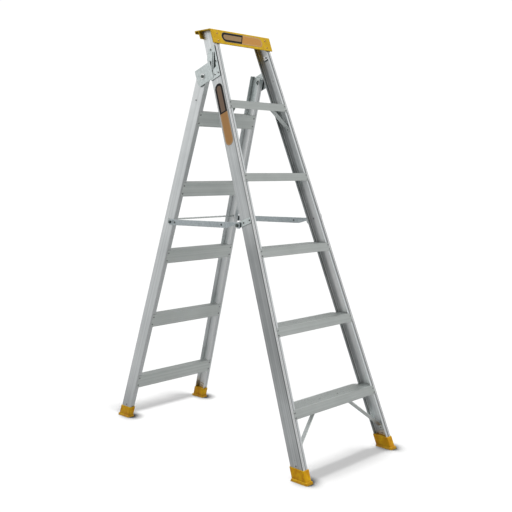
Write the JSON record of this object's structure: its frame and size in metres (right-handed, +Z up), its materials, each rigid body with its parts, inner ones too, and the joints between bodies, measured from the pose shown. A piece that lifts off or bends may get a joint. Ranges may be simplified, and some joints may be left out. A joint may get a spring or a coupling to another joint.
{
  "type": "combination ladder",
  "caption": "Free-standing combination ladder: treaded climbing section hinged at the top to a rear rung section, with hook-on spreader arms, a moulded cap and boots on the stile ends.",
  "frame": {"origin": "centre of the open ladder's footprint, on the floor", "axes": "+X to the user's right when facing the treads, +Y from the treads towards the rear section, +Z up"},
  "size_m": [0.565, 1.194, 1.698],
  "materials": {
    "stile_aluminium": "mill-finish extrusion, brushed lengthwise",
    "tread_aluminium": "mill-finish sheet with a grooved tread",
    "galvanised_steel": "pressed, zinc-plated",
    "fastener_steel": "zinc-plated",
    "rivet_aluminium": "bright",
    "cap_plastic": "moulded yellow, satin",
    "boot_rubber": "moulded yellow",
    "bush_plastic": "natural nylon",
    "label_film": "plain printed film"
  },
  "bodies": {
    "front_section": {"front_stile_left": "stile_aluminium", "front_stile_right": "stile_aluminium", "front_tread_1": "tread_aluminium", "front_tread_2": "tread_aluminium", "front_tread_3": "tread_aluminium", "front_tread_4": "tread_aluminium", "front_tread_5": "tread_aluminium", "front_tread_rivets": "rivet_aluminium", "top_cap": "cap_plastic", "cap_rivets": "rivet_aluminium", "lower_brace_left": "galvanised_steel", "lower_brace_right": "galvanised_steel", "upper_brace_left": "galvanised_steel", "upper_brace_right": "galvanised_steel", "brace_web_rivets": "rivet_aluminium", "brace_tread_rivets": "rivet_aluminium", "front_foot_left": "boot_rubber", "front_foot_right": "boot_rubber", "front_foot_plate_left": "galvanised_steel", "front_foot_plate_right": "galvanised_steel", "front_foot_rivets": "rivet_aluminium", "hinge_bracket_left": "galvanised_steel", "hinge_bracket_right": "galvanised_steel", "hinge_bracket_rivets": "rivet_aluminium", "hinge_bolts": "fastener_steel", "hinge_washers": "fastener_steel", "hinge_nuts": "fastener_steel", "spreader_bracket_left": "galvanised_steel", "spreader_bracket_right": "galvanised_steel", "spreader_bracket_rivets": "rivet_aluminium", "spreader_studs": "fastener_steel", "stile_label": "label_film", "cap_label": "label_film"},
    "rear_section": {"rear_stile_left": "stile_aluminium", "rear_stile_right": "stile_aluminium", "rear_tread_1": "tread_aluminium", "rear_tread_2": "tread_aluminium", "rear_tread_3": "tread_aluminium", "rear_tread_4": "tread_aluminium", "rear_tread_5": "tread_aluminium", "rear_tread_rivets": "rivet_aluminium", "rear_foot_left": "boot_rubber", "rear_foot_right": "boot_rubber", "rear_foot_plate_left": "galvanised_steel", "rear_foot_plate_right": "galvanised_steel", "rear_foot_rivets": "rivet_aluminium", "hinge_bushes": "bush_plastic", "rear_insert_left": "stile_aluminium", "rear_insert_right": "stile_aluminium", "rear_insert_rivets": "rivet_aluminium", "spreader_pivot_bolts": "fastener_steel", "spreader_pivot_nuts": "fastener_steel", "tie_rod": "galvanised_steel"},
    "spreader_left": {"spreader_arm_left": "galvanised_steel"},
    "spreader_right": {"spreader_arm_right": "galvanised_steel"}
  },
  "joints": [
    {"name": "fold", "type": "hinge", "parent": "front_section", "child": "rear_section", "pos_m": [0, 0.07043, 1.51153], "axis": [1, 0, 0], "range_deg": [-37, 0]},
    {"name": "spreader_left_lift", "type": "hinge", "parent": "rear_section", "child": "spreader_left", "pos_m": [-0.2, 0.25537, 0.91202], "axis": [1, 0, 0], "range_deg": [-70, 0]},
    {"name": "spreader_right_lift", "type": "hinge", "parent": "rear_section", "child": "spreader_right", "pos_m": [0.2, 0.25537, 0.91202], "axis": [1, 0, 0], "range_deg": [-70, 0]}
  ]
}
